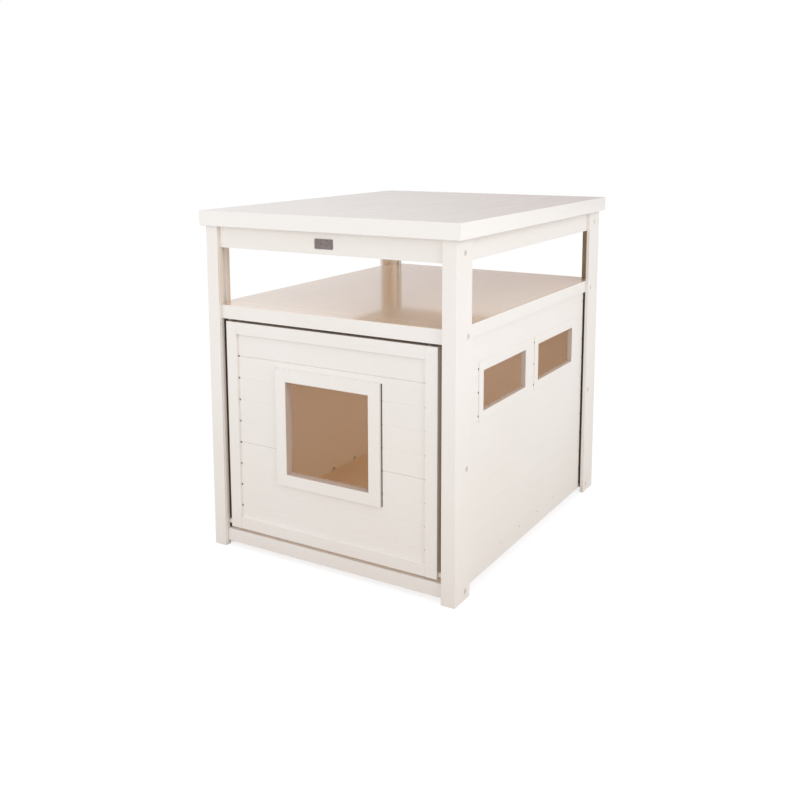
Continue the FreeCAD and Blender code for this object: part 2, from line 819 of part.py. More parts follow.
def make_door_board(label, low, high, joints, grooves, pitted, notched):
    """Board of the door, pitted at its groove ends; a notched one goes round the entry lining."""
    body = new_body(label)
    half = "%s + board_tongue" % DOOR_INNER
    sketch = new_sketch(body, "XZ_Plane", BOARD_FACE)
    rectangle(sketch, "-(%s)" % half, half, low, high)
    pad(body, sketch, "board_thick", backwards=True)

    if notched:
        entry = new_sketch(body, "XZ_Plane")
        rectangle(
            entry,
            "-(%s + joint_gap)" % LINED,
            "%s + joint_gap" % LINED,
            "entry_low - liner_thick - joint_gap",
            "entry_high + liner_thick + joint_gap",
        )
        cut = cut_through(body, entry)
        cut.Midplane = False
        cut.Reversed = True

        slots = new_sketch(body, "XZ_Plane", BOARD_FACE)
        for side in (-1, 1):
            left, right = spread(side, TRIM_OUT, TRIM_OUT + " + entry_shadow")
            rectangle(slots, left, right, "entry_low - entry_trim", "entry_high + entry_trim")
        cut_blind(body, slots, "entry_shadow_deep")

    for number in joints:
        cut_vee(body, "YZ_Plane", -1, BOARD_FACE, door_groove(number), "joint_vee")
    for number in grooves:
        cut_vee(body, "YZ_Plane", -1, BOARD_FACE, door_groove(number), "plank_vee")

    pits = new_sketch(body, "XZ_Plane", BOARD_FACE)
    for number in pitted:
        places = [DOOR_INNER + " - 0.7 * plank_dimple"]
        if number in TRIM_GROOVES:
            places.append(TRIM_OUT + " + entry_shadow / 2")
        for side in (-1, 1):
            for place_x in places:
                circle(pits, signed(side, place_x), door_groove(number), "plank_dimple")
    cut_blind(body, pits, "plank_dimple_deep")


def ring(sketch, half, low, high, width):
    """A rectangular frame outline round an opening."""
    outer = "%s + %s" % (half, width)
    rectangle(sketch, "-(%s)" % outer, outer, "%s - (%s)" % (low, width), "%s + %s" % (high, width))
    rectangle(sketch, "-(%s)" % half, half, low, high)


def make_entry():
    trim = new_body("entry_trim")
    face = new_sketch(trim, "XZ_Plane", BOARD_FACE)
    ring(face, "entry_half", "entry_low", "entry_high", "entry_trim")
    pad(trim, face, "entry_trim_thick")
    lining = new_body("entry_lining")
    tube = new_sketch(lining, "XZ_Plane", BOARD_FACE)
    ring(tube, "entry_half", "entry_low", "entry_high", "liner_thick")
    pad(lining, tube, "door_thick - board_recess", backwards=True)


for side in (-1, 1):
    make_door_stile(side)
    make_door_rail(side)
JOINT_LOW = door_groove(0)
JOINT_HIGH = door_groove(BOARD_PLANKS)
make_door_board(
    "door_board_lower",
    BOARD_LOW,
    JOINT_LOW + " - joint_gap / 2",
    joints=(0,),
    grooves=(-3, -2, -1),
    pitted=(-3, -2, -1, 0),
    notched=True,
)
make_door_board(
    "door_board_middle",
    JOINT_LOW + " + joint_gap / 2",
    JOINT_HIGH + " - joint_gap / 2",
    joints=(0, BOARD_PLANKS),
    grooves=(1, 2, 3),
    pitted=(0, 1, 2, 3, 4),
    notched=True,
)
make_door_board(
    "door_board_upper",
    JOINT_HIGH + " + joint_gap / 2",
    BOARD_HIGH,
    joints=(BOARD_PLANKS,),
    grooves=(),
    pitted=(4, 5),
    notched=False,
)
make_entry()

# ---------------------------------------------------------------- hinge pins and bushes


def make_pin(side):
    """Pin turned in one piece with the collar that keeps the door off the post."""
    body = new_body("hinge_pin_%s" % side_name(side))
    collar_in = "door_half + bush_flange_thick + collar_air"
    outline = (
        (PIN_IN_DOOR_X, "0"),
        (PIN_IN_DOOR_X, "pin_radius"),
        (collar_in, "pin_radius"),
        (collar_in, "pin_collar_radius"),
        (POST_INNER_X + " - joint_gap", "pin_collar_radius"),
        (POST_INNER_X + " - joint_gap", "pin_radius"),
        (POST_INNER_X + " + pin_in_post", "pin_radius"),
        (POST_INNER_X + " + pin_in_post", "0"),
    )
    sketch = new_sketch(body, "XZ_Plane")
    polygon(sketch, [(signed(side, x), r) for x, r in outline])
    turned = body.newObject("PartDesign::Revolution", "Turned")
    turned.Profile = sketch
    turned.ReferenceAxis = (sketch, ["H_Axis"])
    turned.Angle = 360
    place(body, y="hinge_y", z="hinge_z")


def make_bush(side):
    """Flanged bush pressed into the door stile."""
    body = new_body("hinge_bush_%s" % side_name(side))
    inner = "pin_radius + pin_play"
    outline = (
        ("door_half - bush_length", inner),
        ("door_half - bush_length", "bush_radius - press_play"),
        ("door_half", "bush_radius - press_play"),
        ("door_half", "bush_flange_radius"),
        ("door_half + bush_flange_thick", "bush_flange_radius"),
        ("door_half + bush_flange_thick", inner),
    )
    sketch = new_sketch(body, "XZ_Plane")
    polygon(sketch, [(signed(side, x), r) for x, r in outline])
    turned = body.newObject("PartDesign::Revolution", "Turned")
    turned.Profile = sketch
    turned.ReferenceAxis = (sketch, ["H_Axis"])
    turned.Angle = 360
    place(body, y="hinge_y", z="hinge_z")


for side in (-1, 1):
    make_pin(side)
    make_bush(side)

# ---------------------------------------------------------------- catch, strike and nameplate


def make_catch():
    """Magnetic catch housing with a hollow between its two pole plates."""
    catch_front = "%s + strike_thick + catch_air" % DOOR_BACK
    body = new_body("magnet_catch")
    sketch = new_sketch(body, "XY_Plane")
    rectangle(sketch, "-catch_half", "catch_half", catch_front, catch_front + " + catch_depth")
    pad(body, sketch, "catch_height")
    mouth = new_sketch(body, "XZ_Plane", "-(%s)" % catch_front)
    half = "catch_half - catch_wall"
    rectangle(mouth, "-(%s)" % half, half, "catch_lip", "catch_height - catch_lip")
    cut_blind(body, mouth, "catch_mouth")
    place(body, z="shelf_rail_bottom - joint_gap - catch_height")
    return body


def make_strike():
    """Steel plate on the back of the door's top rail."""
    body = new_body("strike_plate")
    sketch = new_sketch(body, "XZ_Plane", "-(%s)" % DOOR_BACK)
    rectangle(sketch, "-strike_half", "strike_half", "0", "strike_height")
    pad(body, sketch, "strike_thick", backwards=True)
    place(body, z="door_top - strike_drop - strike_height")


def make_nameplate():
    """Blank plate with rounded corners on the front upper rail."""
    body = new_body("nameplate")
    sketch = new_sketch(body, "XZ_Plane", RAIL_FACE)
    rectangle(sketch, "-plate_half", "plate_half", "0", "plate_high - plate_low")
    blank = pad(body, sketch, "plate_thick")
    doc.recompute()
    corners = edges_at(blank, lambda edge: edge.BoundBox.YLength > edge.BoundBox.XLength + 0.5)
    ease(body, blank, corners, "plate_corner")
    place(body, z="plate_low")


make_catch()
make_strike()
make_nameplate()

# ---------------------------------------------------------------- corner blocks

for side in (-1, 1):
    for end in (-1, 1):
        inner_x = SIDE_RAIL_FACE + " - side_apron_thick - joint_gap - block_size"
        outer_x = SIDE_RAIL_FACE + " - side_apron_thick - joint_gap"
        span = [
            signed(end, RAIL_BACK + " - joint_gap - block_size"),
            signed(end, RAIL_BACK + " - joint_gap"),
        ]
        if end < 0:
            span.reverse()
        block = box_body(
            "corner_block_%s_%s" % (end_name(end), side_name(side)),
            spread(side, inner_x, outer_x),
            span,
            "(%s) - block_size" % LEG_HEIGHT,
            "block_size",
        )
        hole = new_sketch(block, "XY_Plane")
        circle(
            hole,
            signed(side, SIDE_RAIL_FACE + " - side_apron_thick - block_size / 2"),
            signed(end, RAIL_BACK + " - block_size / 2"),
            "screw_radius + 0.1",
        )
        cut = cut_through(block, hole)
        cut.Midplane = False
        cut.Reversed = True

# ---------------------------------------------------------------- fasteners

HEX = 6


def hex_socket(x, y, z, reach):
    """A hexagonal prism along X, used to sink the key socket of a bolt head."""
    radius = value("bolt_socket")
    corners = []
    for index in range(HEX + 1):
        turn = FreeCAD.Rotation(FreeCAD.Vector(1, 0, 0), 360 / HEX * index)
        corners.append(FreeCAD.Vector(x, y, z) + turn.multVec(FreeCAD.Vector(0, 0, radius)))
    face = Part.Face(Part.makePolygon(corners))
    return face.extrude(FreeCAD.Vector(reach, 0, 0))


def post_bolt(side, y, z, tip):
    """Flat-headed bolt seated in the outer face of a post."""
    head_out = value("leg_half_x - bolt_sink + bolt_head_thick")
    head_in = head_out - value("bolt_head_thick")
    head = along_x(side * head_in, side * head_out, y, z, value("bolt_head_radius"))
    shank = along_x(side * tip, side * head_in, y, z, value("bolt_radius"))
    bolt = head.fuse(shank).removeSplitter()
    socket = hex_socket(side * head_out, y, z, -side * value("bolt_socket_deep"))
    return bolt.cut(socket)


def bolt_spacer(side, y, z):
    """Sleeve that keeps a post flange off the wall stile."""
    outer = value(SIDE_RAIL_FACE)
    inner = value(STILE_OUTER + " + joint_gap")
    sleeve = along_x(side * inner, side * outer, y, z, value("spacer_radius"))
    hole = along_x(side * (inner - 1), side * (outer + 1), y, z, value(BOLT_HOLE))
    return sleeve.cut(hole)


def make_post_bolts():
    short_bolts = []
    long_bolts = []
    spacers = []
    for side in (-1, 1):
        for end in (-1, 1):
            for y, z in SHORT_BOLTS:
                tip = value("bolt_short_end")
                short_bolts.append(post_bolt(side, end * value(y), value(z), tip))
            for y, z in LONG_BOLTS:
                tip = value("bolt_long_end")
                long_bolts.append(post_bolt(side, end * value(y), value(z), tip))
                spacers.append(bolt_spacer(side, end * value(y), value(z)))
    solids_group("post_bolts_short", short_bolts)
    solids_group("post_bolts_long", long_bolts)
    solids_group("bolt_spacers", spacers)


def make_wall_plugs():
    """Push-in plugs through the side walls just above the floor."""
    plugs = []
    height = value("plug_height")
    for side in (-1, 1):
        inner = value(WALL_INNER)
        for y in ("-plug_far", "-plug_near", "plug_near", "plug_far"):
            head_in = inner - value("plug_head_thick")
            tip = value("wall_face + plug_proud")
            head = along_x(side * head_in, side * inner, value(y), height, value("plug_head_radius"))
            stem = along_x(side * inner, side * tip, value(y), height, value("plug_radius"))
            plugs.append(head.fuse(stem).removeSplitter())
    solids_group("wall_plugs", plugs)


def make_top_screws():
    """Screws up through the corner blocks into the tabletop."""
    screws = []
    under = value("(%s) - block_size" % LEG_HEIGHT)
    for side in (-1, 1):
        for end in (-1, 1):
            x = side * value(SIDE_RAIL_FACE + " - side_apron_thick - block_size / 2")
            y = end * value(RAIL_BACK + " - block_size / 2")
            head_low = under - value("screw_head_thick")
            head = along_z(head_low, under, x, y, value("screw_head_radius"))
            shank = along_z(under, under + value("screw_length"), x, y, value("screw_radius"))
            screws.append(head.fuse(shank).removeSplitter())
    solids_group("top_screws", screws)


make_post_bolts()
make_wall_plugs()
make_top_screws()

# ---------------------------------------------------------------- checks and export

doc.recompute()
for obj in doc.Objects:
    if "Invalid" in obj.State or "Error" in obj.State:
        raise RuntimeError("%s (%s) is %s" % (obj.Name, obj.Label, obj.State))

for label, obj in parts.items():
    shape = obj.Shape
    if shape.isNull() or not shape.isValid() or shape.Volume < 1:
        raise RuntimeError("bad shape: %s" % label)
    shape.exportStep("parts/%s.step" % label)
    size = shape.BoundBox
    print(
        "%-26s %2d solid(s) %9.1f cm3  X %7.1f %7.1f  Y %7.1f %7.1f  Z %6.1f %6.1f"
        % (
            label,
            len(shape.Solids),
            shape.Volume / 1000,
            size.XMin,
            size.XMax,
            size.YMin,
            size.YMax,
            size.ZMin,
            size.ZMax,
        )
    )
print(len(parts), "sub-parts")
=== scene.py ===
import math

import bpy
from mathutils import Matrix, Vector


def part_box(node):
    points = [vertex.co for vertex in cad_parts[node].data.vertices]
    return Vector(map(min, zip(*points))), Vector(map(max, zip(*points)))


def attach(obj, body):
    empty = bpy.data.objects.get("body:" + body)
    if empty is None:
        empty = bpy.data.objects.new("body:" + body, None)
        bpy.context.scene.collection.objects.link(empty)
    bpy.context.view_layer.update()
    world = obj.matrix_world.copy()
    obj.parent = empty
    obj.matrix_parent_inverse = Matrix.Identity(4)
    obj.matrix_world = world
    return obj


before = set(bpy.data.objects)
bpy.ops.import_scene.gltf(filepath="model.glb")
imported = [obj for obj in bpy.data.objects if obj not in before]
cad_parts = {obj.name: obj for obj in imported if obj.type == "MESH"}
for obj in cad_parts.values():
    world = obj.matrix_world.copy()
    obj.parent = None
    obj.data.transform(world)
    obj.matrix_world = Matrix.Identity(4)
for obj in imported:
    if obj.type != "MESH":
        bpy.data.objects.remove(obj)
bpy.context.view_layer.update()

# Litter box cabinet: paint, laminate, metal and plastic finishes over the CAD solids; the paint has
# painted light inside the lower bay and on the left post channels, and painted shade in the gaps,
# cuts, wall ends, jambs, posts' inner faces, right post channels and on the tabletop's top. Two
# soft stop strips behind the door's upper edge, whose dark rubber also stands in for the gap's
# shade; a pale floor whose bounce is painted darker near the piece; soft light and the photograph's
# camera.
# All lengths are metres. Named angles are degrees.

# ---------------------------------------------------------------- colours (linear)


def grey(level):
    return (level, level, level, 1.0)


def scaled(colour, factor):
    """A colour made darker or lighter by a factor, at most white."""
    return tuple(min(1.0, part * factor) for part in colour[:3]) + (1.0,)


WHITE = grey(1.0)
PAINT_LIGHT = (0.870, 0.845, 0.820, 1.0)
PAINT_WARM = (0.845, 0.812, 0.775, 1.0)
# Tabletop's top face: painted shade, darker and warmer than the paint on its edges.
TOP_SHADED_PALE = (0.800, 0.760, 0.740, 1.0)
TOP_SHADED_WARM = (0.775, 0.730, 0.705, 1.0)
# Painted light: the inside of the lower bay lighter and warmer than the paint outside.
BAY_PAINTED_LIGHT = (0.995, 0.955, 0.875, 1.0)
# Painted shade: dark in the gap by the posts, in the pits and slots of the boards and walls, and
# under the shelf rail.
GAP_PAINTED_SHADE = (0.270, 0.215, 0.180, 1.0)
# Painted shade on the door's side and top edges inside the gap round it.
DOOR_EDGE_PAINTED_SHADE = (0.620, 0.545, 0.470, 1.0)
# Painted shade on the side walls' ends in the gap by the posts' flanges.
WALL_END_PAINTED_SHADE = (0.480, 0.400, 0.330, 1.0)
FLOOR_TINT = (0.940, 0.790, 0.600, 1.0)
# Painted shade on the inner faces of the entry's lining.
JAMB_PAINTED_SHADE = (0.600, 0.500, 0.430, 1.0)
# Painted shade on the inner faces of the window trims.
WINDOW_JAMB_PAINTED_SHADE = (0.660, 0.570, 0.500, 1.0)
# Painted shade on the posts' inner faces over the shelf.
POST_PAINTED_SHADE = (0.860, 0.790, 0.700, 1.0)
# Post channels over the shelf: painted light on the left, painted shade on the right.
CHANNEL_LEFT_PAINTED_LIGHT = (0.950, 0.870, 0.750, 1.0)
CHANNEL_RIGHT_PAINTED_SHADE = (0.360, 0.300, 0.210, 1.0)
SHELF_LIGHT = (0.900, 0.720, 0.560, 1.0)
SHELF_WARM = (0.870, 0.690, 0.530, 1.0)
STEEL_COLOUR = (0.100, 0.085, 0.075, 1.0)
PLATE_COLOUR = (0.300, 0.260, 0.255, 1.0)
PLASTIC_COLOUR = (0.300, 0.250, 0.210, 1.0)
# Dark rubber of the door stop strips; its darkness also stands in for the shade in the gap above
# the door.
RUBBER_AND_SHADE_COLOUR = (0.340, 0.290, 0.255, 1.0)
BOLT_COLOUR = (0.650, 0.620, 0.585, 1.0)
PLUG_COLOUR = (0.600, 0.550, 0.480, 1.0)
BUSH_COLOUR = (0.720, 0.680, 0.620, 1.0)
FLOOR_FAR = (0.900, 0.890, 0.880, 1.0)
# Painted shade: the floor's colour for bounced light, darker and warmer near the piece.
FLOOR_NEAR_PAINTED_SHADE = (0.560, 0.470, 0.400, 1.0)
ROOM_LEFT = (1.000, 0.985, 0.975, 1.0)
ROOM_LOW = (0.300, 0.200, 0.180, 1.0)
ROOM_HIGH = (0.950, 0.920, 0.880, 1.0)

# ---------------------------------------------------------------- node helpers


def add(tree, kind, inputs=None, **settings):
    """A shader node with its settings and the values of its unlinked sockets."""
    node = tree.nodes.new(kind)
    for name, setting in settings.items():
        setattr(node, name, setting)
    for name, number in (inputs or {}).items():
        node.inputs[name].default_value = number
    return node


def join(tree, source, target):
    tree.links.new(source, target)


def noise(tree, vector, scale, detail=2.0, roughness=0.5):
    inputs = {"Scale": scale, "Detail": detail, "Roughness": roughness}
    node = add(tree, "ShaderNodeTexNoise", inputs)
    join(tree, vector, node.inputs["Vector"])
    return node.outputs["Fac"]


def stretched(tree, vector, scale):
    """Coordinates scaled by a different factor along each axis."""
    node = add(tree, "ShaderNodeMapping", {"Scale": scale})
    join(tree, vector, node.inputs["Vector"])
    return node.outputs["Vector"]


def remap(tree, source, span, target=(0.0, 1.0)):
    """Carry a span of values over to a target span, and stop at its ends."""
    limits = zip(("From Min", "From Max", "To Min", "To Max"), (*span, *target))
    node = add(tree, "ShaderNodeMapRange", dict(limits))
    join(tree, source, node.inputs["Value"])
    return node.outputs["Result"]


def blend(tree, factor, first, second):
    """Mix two colours; each is a socket or a fixed colour."""
    node = add(tree, "ShaderNodeMix", data_type="RGBA")
    join(tree, factor, node.inputs["Factor"])
    sockets = [s for s in node.inputs if s.type == "RGBA"]
    for socket, colour in zip(sockets, (first, second)):
        if isinstance(colour, bpy.types.NodeSocket):
            join(tree, colour, socket)
        else:
            socket.default_value = colour
    return [s for s in node.outputs if s.type == "RGBA"][0]


def arithmetic(tree, operation, first, second=None):
    """A sum on one or two values; each is a socket or a fixed number."""
    node = add(tree, "ShaderNodeMath", operation=operation)
    for socket, number in zip(node.inputs, (first, second)):
        if isinstance(number, bpy.types.NodeSocket):
            join(tree, number, socket)
        elif number is not None:
            socket.default_value = number
    return node.outputs["Value"]


def new_material(name, roughness, metallic=0.0, specular=0.5, coat=0.0):
    material = bpy.data.materials.new(name)
    material.use_nodes = True
    tree = material.node_tree
    shader = tree.nodes["Principled BSDF"]
    shader.inputs["Roughness"].default_value = roughness
    shader.inputs["Metallic"].default_value = metallic
    shader.inputs["Specular IOR Level"].default_value = specular
    shader.inputs["Coat Weight"].default_value = coat
    coords = add(tree, "ShaderNodeTexCoord").outputs["Object"]
    return material, tree, shader, coords


def bump(tree, shader, heights, distance):
    """Chain of bumps, each a height socket and a strength."""
    normal = None
    for height, strength in heights:
        node = add(tree, "ShaderNodeBump", {"Strength": strength, "Distance": distance})
        join(tree, height, node.inputs["Height"])
        if normal is not None:
            join(tree, normal, node.inputs["Normal"])
        normal = node.outputs["Normal"]
    join(tree, normal, shader.inputs["Normal"])


# ---------------------------------------------------------------- zones of the solids

LEAST, MOST = 0, 1


def side_of(node, axis, end):
    """Where one face of a CAD node's box lies: axis x, y or z, and its LEAST or MOST end."""
    return getattr(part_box(node)[end], axis)


POST_INNER = side_of("leg_front_right", "x", LEAST)
RAIL_FACE_X = side_of("shelf_rail_right", "x", MOST)
RAIL_UNDER = side_of("shelf_rail_front", "z", LEAST)
WALL_FACE = side_of("side_wall_right", "x", MOST)
WALL_INNER = side_of("side_wall_right", "x", LEAST)
WALL_END = side_of("side_wall_right", "y", MOST)
STILE_OUTER = side_of("wall_stile_rear_right", "x", MOST)
STILE_END = side_of("wall_stile_rear_right", "y", MOST)
BACK_INNER = side_of("back_wall", "y", LEAST)
SHELF_UNDER = side_of("shelf_panel", "z", LEAST)
SHELF_TOP = side_of("shelf_panel", "z", MOST)
TABLE_TOP = side_of("tabletop", "z", MOST)
DOOR_HALF = side_of("door_stile_right", "x", MOST)
DOOR_TOP = side_of("door_stile_right", "z", MOST)
DOOR_FRONT = side_of("door_stile_right", "y", LEAST)
DOOR_BACK = side_of("door_stile_right", "y", MOST)
BOARD_FACE = side_of("door_board_upper", "y", LEAST)
BOARD_BACK = side_of("door_board_upper", "y", MOST)
CATCH_HALF = side_of("magnet_catch", "x", MOST)

EDGE = 0.0004
ABOVE_ALL = 1.0
LINER = 0.004
WINDOW_TRIM = 0.020
REVEAL = 0.0009
# Depths behind the door's front where the gap round it carries painted shade; the post's eased
# corner is deeper.
GAP_START = 0.0015
GAP_REACH = 0.022
POST_GAP_START = 0.0078
POST_GAP_WIDTH = 0.010
# Depths under the face of a board where its pits carry painted shade; BOARD_CUT_REST stays pale
# behind them.
BOARD_CUT_START = 0.0018
BOARD_CUT_REST = 0.0012
WALL_CUT_START = 0.0010
WALL_CUT_REACH = 0.0065

# A zone is a row of (axis, low, high) limits. Across and along are distances from the middle in
# X and Y, so that they hold on both sides.
FROM_MIDDLE = {"across": "X", "along": "Y"}

GAP_DEPTH = ("y", DOOR_FRONT + GAP_START, DOOR_FRONT + GAP_REACH)
POST_GAP_DEPTH = ("y", DOOR_FRONT + POST_GAP_START, DOOR_FRONT + GAP_REACH)
UNDER_RAIL = ("z", 0.0, RAIL_UNDER + EDGE)
OVER_SHELF = ("z", SHELF_TOP, ABOVE_ALL)
BETWEEN_POSTS = ("across", 0.0, POST_INNER)

# Zones where the paint carries painted light and shade: the bay's inside is painted lighter and
# warmer; the door gap, board and wall cuts, wall ends, jambs and posts' inner faces darker; the
# post channels over the shelf lighter on the left and darker on the right.
BAY = (
    ("across", 0.0, WALL_INNER + EDGE),
    ("y", BOARD_BACK - EDGE, BACK_INNER + EDGE),
    ("z", 0.0, SHELF_UNDER + EDGE),
)
DOOR_EDGE = (("across", DOOR_HALF - EDGE, DOOR_HALF + EDGE), GAP_DEPTH, UNDER_RAIL)
POST_EDGE = (
    ("across", POST_INNER - EDGE, POST_INNER + POST_GAP_WIDTH),
    POST_GAP_DEPTH,
    UNDER_RAIL,
)
DOOR_HEAD = (BETWEEN_POSTS, GAP_DEPTH, ("z", DOOR_TOP - EDGE, DOOR_TOP + EDGE))
RAIL_EDGE = (BETWEEN_POSTS, GAP_DEPTH, ("z", RAIL_UNDER - EDGE, RAIL_UNDER + EDGE))
BOARD_CUTS = (("y", BOARD_FACE + BOARD_CUT_START, BOARD_BACK - BOARD_CUT_REST),)
WALL_CUTS = (("across", WALL_FACE - WALL_CUT_REACH, WALL_FACE - WALL_CUT_START),)
WALL_ENDS = (
    ("across", STILE_OUTER - EDGE, WALL_FACE),
    ("along", WALL_END - EDGE, STILE_END + EDGE),
    ("z", 0.0, RAIL_UNDER),
)
CHANNEL = (("along", WALL_END, STILE_END + EDGE), OVER_SHELF)
CHANNEL_LEFT = CHANNEL + (("x", -RAIL_FACE_X - EDGE, -POST_INNER - EDGE),)
CHANNEL_RIGHT = CHANNEL + (("x", POST_INNER + EDGE, RAIL_FACE_X + EDGE),)
POST_BAY = (("across", POST_INNER - EDGE, POST_INNER + EDGE), OVER_SHELF)
SHELF_LEVEL = (("z", SHELF_TOP - EDGE, ABOVE_ALL),)
TABLE_EDGES = (("z", 0.0, TABLE_TOP - EDGE),)


def opening(node, sideways, width):
    """Zone of the inner faces of a frame, its width given; sideways is across or along."""
    low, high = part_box(node)
    axis = FROM_MIDDLE[sideways].lower()
    ends = sorted(abs(getattr(corner, axis)) for corner in (low, high))
    near = 0.0 if ends[1] - ends[0] < width else ends[0] + width - REVEAL
    return (
        (sideways, near, ends[1] - width + REVEAL),
        ("z", low.z + width - REVEAL, high.z - width + REVEAL),
    )


ENTRY_INSIDE = opening("entry_lining", "across", LINER)
WINDOW_INSIDE = opening("window_trim_rear_right", "along", WINDOW_TRIM)


def inside(tree, coords, zone):
    """1 on surfaces that lie in a zone, 0 outside it."""
    parts = add(tree, "ShaderNodeSeparateXYZ")
    join(tree, coords, parts.inputs["Vector"])
    result = None
    for axis, low, high in zone:
        if axis in FROM_MIDDLE:
            place = arithmetic(tree, "ABSOLUTE", parts.outputs[FROM_MIDDLE[axis]])
        else:
            place = parts.outputs[axis.upper()]
        for test, limit in (("GREATER_THAN", low), ("LESS_THAN", high)):
            passed = arithmetic(tree, test, place, limit)
            result = passed if result is None else arithmetic(tree, "MULTIPLY", result, passed)
    return result


# ---------------------------------------------------------------- finishes

CLOUD_SCALE = 3.1
CLOUD_SPAN = (0.35, 0.65)
GRAIN_SPAN = (0.3, 0.7)
GRAIN_SHARE = 0.35
SCUFF_SPAN = (0.66, 0.74)
SCUFF_DARK = 0.93
SCUFF_SHARE = 0.25
SCUFF_DULL = 0.12
PAINT_RELIEF = 0.0004

FIGURE_SPAN = (0.30, 0.70)
FIBRE_SPAN = (0.35, 0.75)
FIBRE_SHARE = 0.10
FIBRE_DULL = 0.03
SIDE_ROUGHNESS = 0.45
COAT_ROUGHNESS = 0.06
COAT_IOR = 1.6

STAIN_SPAN = (0.4, 0.7)
STAIN_DARK = 0.72
MARK_DULL = 0.18
PLASTIC_PALE = 1.15
PLASTIC_DULL = 0.15
FINE_RELIEF = 0.0002


def clouded(tree, coords, first, second, scale):
    """Two tones that run into each other in soft clouds."""
    clouds = noise(tree, coords, scale, detail=3.0)
    return blend(tree, remap(tree, clouds, CLOUD_SPAN), first, second)


def paint(name, grain, roughness=(0.40, 0.52), light=PAINT_LIGHT, warm=PAINT_WARM, painted_shading=()):
    """Satin paint over board: soft clouding, brush grain along the board and faint scuffs, with
    painted light in the bay and the painted light and shade of the zones in painted_shading.
    """
    material, tree, shader, coords = new_material(name, roughness[0])
    along = noise(tree, stretched(tree, coords, grain), scale=1.0, detail=5.0, roughness=0.6)
    fine = noise(tree, coords, scale=620.0)
    scuffs = noise(tree, coords, scale=38.0, detail=6.0, roughness=0.7)
    scuffs = remap(tree, scuffs, SCUFF_SPAN)

    tone = clouded(tree, coords, light, warm, CLOUD_SCALE)
    tone = blend(tree, remap(tree, along, GRAIN_SPAN, (0.0, GRAIN_SHARE)), tone, warm)
    worn = arithmetic(tree, "MULTIPLY", scuffs, SCUFF_SHARE)
    tone = blend(tree, worn, tone, scaled(warm, SCUFF_DARK))
    # Painted light inside the bay first, then the painted light and shade of each zone given.
    for zone, colour in ((BAY, BAY_PAINTED_LIGHT),) + painted_shading:
        tone = blend(tree, inside(tree, coords, zone), tone, colour)
    join(tree, tone, shader.inputs["Base Color"])

    gloss = remap(tree, along, GRAIN_SPAN, roughness)
    dull = arithmetic(tree, "MULTIPLY", scuffs, SCUFF_DULL)
    join(tree, arithmetic(tree, "ADD", gloss, dull), shader.inputs["Roughness"])
    bump(tree, shader, ((along, 0.10), (fine, 0.10)), PAINT_RELIEF)
    return material


def laminate(name, light, warm, coat, roughness, painted_sides=False):
    """Printed board: long soft figure along Y under a clear, slightly uneven top coat."""
    material, tree, shader, coords = new_material(name, roughness, coat=coat)
    shader.inputs["Coat Roughness"].default_value = COAT_ROUGHNESS
    shader.inputs["Coat IOR"].default_value = COAT_IOR
    figure = noise(tree, stretched(tree, coords, (16.0, 1.6, 16.0)), scale=1.0, detail=4.0)
    fibre = noise(tree, stretched(tree, coords, (420.0, 16.0, 420.0)), scale=1.0, detail=3.0)
    tone = blend(tree, remap(tree, figure, FIGURE_SPAN), light, warm)
    tone = blend(tree, remap(tree, fibre, FIBRE_SPAN, (0.0, FIBRE_SHARE)), tone, warm)
    gloss = remap(tree, fibre, GRAIN_SPAN, (roughness, roughness + FIBRE_DULL))
    if painted_sides:
        level = inside(tree, coords, SHELF_LEVEL)
        side = clouded(tree, coords, PAINT_LIGHT, PAINT_WARM, CLOUD_SCALE)
        # The shelf rail's underside over the door gap carries painted shade.
        side = blend(tree, inside(tree, coords, RAIL_EDGE), side, GAP_PAINTED_SHADE)
        tone = blend(tree, level, side, tone)
        gloss = remap(tree, level, (0.0, 1.0), (SIDE_ROUGHNESS, roughness))
        join(tree, level, shader.inputs["Coat Weight"])
    join(tree, tone, shader.inputs["Base Color"])
    join(tree, gloss, shader.inputs["Roughness"])
    bump(tree, shader, ((fibre, 0.02),), FINE_RELIEF)
    return material


def steel(name, colour, roughness, streaks):
    """Bare or plated steel with turning marks and patchy gloss."""
    material, tree, shader, coords = new_material(name, roughness, metallic=1.0)
    marks = noise(tree, stretched(tree, coords, streaks), scale=1.0, detail=4.0)
    stains = noise(tree, coords, scale=210.0, detail=3.0)
    tone = blend(tree, remap(tree, stains, STAIN_SPAN), colour, scaled(colour, STAIN_DARK))
    join(tree, tone, shader.inputs["Base Color"])
    gloss = remap(tree, marks, GRAIN_SPAN, (roughness, roughness + MARK_DULL))
    join(tree, gloss, shader.inputs["Roughness"])
    bump(tree, shader, ((marks, 0.15),), FINE_RELIEF)
    return material


def plastic(name, colour, roughness):
    """Moulded plastic with a fine spark-eroded texture."""
    material, tree, shader, coords = new_material(name, roughness)
    texture = noise(tree, coords, scale=900.0)
    tone = clouded(tree, coords, colour, scaled(colour, PLASTIC_PALE), scale=60.0)
    join(tree, tone, shader.inputs["Base Color"])
    gloss = remap(tree, texture, GRAIN_SPAN, (roughness, roughness + PLASTIC_DULL))
    join(tree, gloss, shader.inputs["Roughness"])
    bump(tree, shader, ((texture, 0.25),), FINE_RELIEF)
    return material


# Scale of the grain and of the metal's marks along each axis.
ALONG_X = (6.0, 160.0, 160.0)
ALONG_Y = (160.0, 6.0, 160.0)
UPRIGHT = (160.0, 160.0, 6.0)
TURNED = (900.0, 60.0, 60.0)
BRUSHED = (30.0, 700.0, 700.0)

# Painted shade in the gaps round the door and at the side walls' ends.
SHADED_GAPS = (
    (POST_EDGE, GAP_PAINTED_SHADE),
    (WALL_ENDS, WALL_END_PAINTED_SHADE),
    (DOOR_EDGE, DOOR_EDGE_PAINTED_SHADE),
    (DOOR_HEAD, DOOR_EDGE_PAINTED_SHADE),
)
